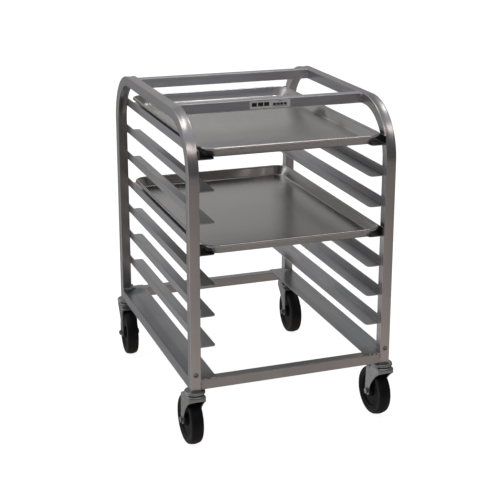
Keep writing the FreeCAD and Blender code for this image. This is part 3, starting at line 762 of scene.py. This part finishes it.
def stem_screw_heads():
    """Dished screw heads in the holes of the posts, with their shanks."""
    vertices, faces = [], []
    turns = [FULL_TURN * step / SCREW_STEPS for step in range(SCREW_STEPS)]
    for side, end in CORNERS:
        seat = Vector((side * POST_X, end * (SCREWS_HIGH.y - SCREW_RISE), SCREW_Z))
        rings = [[seat + Vector((radius * math.cos(turn), end * height, radius * math.sin(turn)))
                  for turn in turns] for radius, height in SCREW_PROFILE]
        join(vertices, faces, [point for ring in rings for point in ring],
             skin(rings, closed_ends=True))
    piece("stem_screw_heads", vertices, faces, "screw", "rack", ["stem_screws"],
          SCREW_SHARP)


# ---------------------------------------------------------------- weld beads

def weld_ripples(start, end, radius, dice):
    """Overlapping drops of metal along a line: (centre, size)."""
    count = max(2, round((end - start).length / (radius * BEAD_PITCH)))
    drops = []
    for index in range(count):
        share = (index + 0.5) / count
        shift = Vector([dice.uniform(-DROP_SCATTER, DROP_SCATTER) * radius for _ in range(3)])
        drops.append((start.lerp(end, share) + shift, radius * dice.uniform(*DROP_SIZES)))
    return drops


def drop_mesh(centre, size):
    """Points and faces of one round drop."""
    points = [centre + Vector((0, 0, size))]
    for row in range(1, DROP_ROWS):
        tilt = math.pi * row / DROP_ROWS
        for column in range(DROP_COLUMNS):
            turn = FULL_TURN * column / DROP_COLUMNS
            around = Vector((math.sin(tilt) * math.cos(turn), math.sin(tilt) * math.sin(turn),
                             math.cos(tilt)))
            points.append(centre + around * size)
    points.append(centre - Vector((0, 0, size)))
    faces = []
    last = 1 + (DROP_ROWS - 2) * DROP_COLUMNS
    for column in range(DROP_COLUMNS):
        after = (column + 1) % DROP_COLUMNS
        faces.append((0, 1 + column, 1 + after))
        for a in range(1, last, DROP_COLUMNS):
            b = a + DROP_COLUMNS
            faces.append((a + column, b + column, b + after, a + after))
        faces.append((last + after, last + column, len(points) - 1))
    return points, faces


def corner_welds(side, end):
    """(start, end, radius) of every weld at one corner of the rack."""
    def at(x, y, z):
        """Point at this corner, x and y from the middle of the rack."""
        return Vector((side * x, end * y, z))

    post_y = HALF_DEPTH - TUBE
    ledge_y = HALF_DEPTH - LEDGE_END_BACK
    ledge_z = BASE_TOP + LEDGE_END_LIFT
    crown_z = RACK_HEIGHT - CROWN_DEPTH
    welds = [(at(INNER_X - SEAM_INSET, ledge_y, ledge_z),
              at(LEDGE_EDGE + LEDGE_END_SHORT, ledge_y, ledge_z), LEDGE_END_BEAD)]
    for y in (HALF_DEPTH, post_y):
        welds.append((at(INNER_X, y, BASE_UNDERSIDE + SEAM_INSET),
                      at(INNER_X, y, BASE_TOP - SEAM_INSET), BASE_SEAM_BEAD))
    welds.append((at(HALF_WIDTH - SEAM_INSET, post_y, RAIL_TOP),
                  at(INNER_X + SEAM_INSET, post_y, RAIL_TOP), RAIL_SEAM_BEAD))
    if (side, end) == HEAVY_WELD:
        corner = at(INNER_X, post_y, RAIL_TOP)
        upright, flat = HEAVY_BEADS
        welds.append((corner, corner + Vector((0, 0, HEAVY_LENGTH)), upright))
        welds.append((corner, corner + Vector((-side * HEAVY_LENGTH, HEAVY_SKEW, 0)), flat))
    for y in TOP_TUBE_Y:
        welds.append((at(INNER_X, y, RACK_HEIGHT - TUBE + SEAM_INSET),
                      at(INNER_X, y, RACK_HEIGHT - TOP_SEAM_DEPTH), TOP_SEAM_BEAD))
    far, near = TOP_TUBE_Y
    welds.append((at(INNER_X, far, crown_z), at(INNER_X, near, crown_z), TOP_CROWN_BEAD))
    for level in SLIDE_LEVELS:
        slide_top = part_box(f"pan_slide_left_{level}")[1].z
        outer, inner = (at(INNER_X - SLIDE_BEAD_INSET, HALF_DEPTH - back, slide_top)
                        for back in SLIDE_BEAD_ENDS)
        welds.append((outer, inner, SLIDE_BEAD))
    return welds


def weld_beads():
    """All welds as one piece of overlapping drops, none higher than the rack."""
    dice = random.Random(WELD_SEED)
    vertices, faces = [], []
    for side, corner_end in CORNERS:
        for start, end, radius in corner_welds(side, corner_end):
            for centre, size in weld_ripples(start, end, radius, dice):
                centre.z = min(centre.z, RACK_HEIGHT - size)
                join(vertices, faces, *drop_mesh(centre, size))
    piece("weld_beads", vertices, faces, "weld", "rack", (), WELD_SHARP)


# ---------------------------------------------------------------- label marks

def label_marks():
    """Plain bars of different lengths and thin lines, in place of print."""
    dice = random.Random(LABEL_SEED)
    width = LABEL_HIGH.x - LABEL_LOW.x
    height = LABEL_HIGH.z - LABEL_LOW.z
    middle = (LABEL_LOW.z + LABEL_HIGH.z) / 2
    vertices, faces = [], []
    for first, last, tall, rise, count in LABEL_BARS:
        cell = (last - first) * width / count
        half_tall = tall * height / 2
        z = middle + rise * height
        for index in range(count):
            left = LABEL_LOW.x + first * width + index * cell
            right = left + (cell * dice.uniform(*BAR_SHARES) if count > 1 else cell)
            outline = [(left, z - half_tall), (right, z - half_tall),
                       (right, z + half_tall), (left, z + half_tall)]
            rings = [[Vector((x, LABEL_LOW.y + depth, up)) for x, up in outline]
                     for depth in (BAR_SINK, -BAR_LIFT)]
            join(vertices, faces, [point for ring in rings for point in ring],
                 skin(rings, closed_ends=True))
    piece("label_marks", vertices, faces, "ink", "rack")


# ---------------------------------------------------------------- CAD pieces that stay

# Material of a CAD piece, by the start of its name. The slides have their own rule, and the
# rest are zinc plated.
CAD_MATERIALS = {
    "top_tube": "top_tube",
    "bottom_tube": "bottom_tube",
    "bottom_rail": "bottom_rail",
    "sheet_pan": "pan",
    "pan_rim_wire": "wire",
    "label": "foil",
    "caster_tyre": "rubber",
    "caster_wheel_core": "plastic",
    "swivel_balls": "polished",
    "caster_bushing": "polished",
}


def cad_material(cad_name):
    """Name of the material for a CAD piece."""
    if cad_name.startswith("pan_slide"):
        return "slide_with_pan" if int(cad_name[-1]) in LEVELS_WITH_PAN else "slide"
    for start, material in CAD_MATERIALS.items():
        if cad_name.startswith(start):
            return material
    return "zinc"


def paint_cad_pieces():
    """Gives every CAD piece its material."""
    for cad_name, cad_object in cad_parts.items():
        slots = cad_object.data.materials
        for index in range(len(slots)):
            slots[index] = MATERIALS[cad_material(cad_name)]


# ---------------------------------------------------------------- stage, light and camera

def floor():
    """Pale floor that only the camera sees."""
    mesh = bpy.data.meshes.new("floor")
    corners = [(-1, -1), (1, -1), (1, 1), (-1, 1)]
    mesh.from_pydata([(x * FLOOR_REACH, y * FLOOR_REACH, 0) for x, y in corners], [],
                     [(0, 1, 2, 3)])
    material, tree, shader = surface("floor", metallic=0.0, roughness=0.9,
                                     Specular_IOR_Level=0.0, Emission_Color=WHITE,
                                     Emission_Strength=FLOOR_GLOW)
    clouds = noise(tree, place_of(tree), 0.6, detail=2.0)
    dress(tree, shader, blend_colours(tree, clouds, *FLOOR_GREYS))
    mesh.materials.append(material)
    made = bpy.data.objects.new("floor", mesh)
    made.visible_glossy = False
    made.visible_diffuse = False
    made.visible_transmission = False
    bpy.context.scene.collection.objects.link(made)


def area_light(name, place, size, power, colour):
    """Soft rectangular lamp that the camera doesn't see, aimed at the rack."""
    data = bpy.data.lights.new(name, "AREA")
    data.shape = "RECTANGLE"
    data.size, data.size_y = size
    data.energy = power
    data.color = colour
    made = bpy.data.objects.new(name, data)
    made.location = place
    aim = Vector(LAMP_TARGET) - Vector(place)
    made.rotation_euler = aim.to_track_quat("-Z", "Y").to_euler()
    made.visible_camera = False
    bpy.context.scene.collection.objects.link(made)


def sky(tree, level, stops):
    """Colours along one axis of the direction, from a ramp."""
    ramp = node(tree, "ShaderNodeValToRGB", Fac=remap(tree, level, (-1, 1)))
    elements = ramp.color_ramp.elements
    while len(elements) < len(stops):
        elements.new(1.0)
    for element, (place, colour) in zip(elements, stops):
        element.position = (place + 1) / 2
        element.color = (*colour, 1.0)
    return ramp.outputs["Color"]


def studio():
    """Room of soft light: dim in front and pale behind and overhead, but white for the camera."""
    world = bpy.data.worlds.new("studio")
    bpy.context.scene.world = world
    world.use_nodes = True
    tree = world.node_tree
    tree.nodes.clear()
    direction = node(tree, "ShaderNodeTexCoord").outputs["Generated"]
    parts = node(tree, "ShaderNodeSeparateXYZ", Vector=direction).outputs
    back = remap(tree, parts["Y"], FRONT_TO_BACK)
    left = remap(tree, parts["X"], TO_THE_LEFT)
    across = sky(tree, parts["X"], [(place, (share,) * 3) for place, share in ACROSS])
    rear = blend_colours(tree, left, sky(tree, parts["Z"], BEHIND),
                         sky(tree, parts["Z"], BEHIND_LEFT))
    behind = blend_colours(tree, 1.0, rear, across, "MULTIPLY")
    room = blend_colours(tree, back, sky(tree, parts["Z"], IN_FRONT), behind)
    shaded = node(tree, "ShaderNodeBackground", Color=room)
    white = node(tree, "ShaderNodeBackground", Color=WHITE)
    seen = node(tree, "ShaderNodeLightPath").outputs["Is Camera Ray"]
    mixed = node(tree, "ShaderNodeMixShader")
    for socket, value in zip(mixed.inputs, (seen, shaded.outputs[0], white.outputs[0])):
        plug(tree, socket, value)
    node(tree, "ShaderNodeOutputWorld", Surface=mixed.outputs[0])


def camera():
    """Camera at the photograph's viewing angle."""
    data = bpy.data.cameras.new("camera")
    data.sensor_width = CAMERA_SENSOR
    data.lens = CAMERA_LENS
    data.shift_x, data.shift_y = CAMERA_SHIFT
    data.clip_start = CAMERA_NEAR
    made = bpy.data.objects.new("camera", data)
    made.location = CAMERA_PLACE
    made.rotation_euler = [math.radians(angle) for angle in CAMERA_TURN]
    bpy.context.scene.collection.objects.link(made)
    bpy.context.scene.camera = made


side_frame(-1, "left")
side_frame(1, "right")
stem_screw_heads()
weld_beads()
label_marks()
paint_cad_pieces()
floor()
studio()
for lamp in LAMPS:
    area_light(*lamp)
camera()
bpy.context.scene.view_settings.view_transform = "Standard"
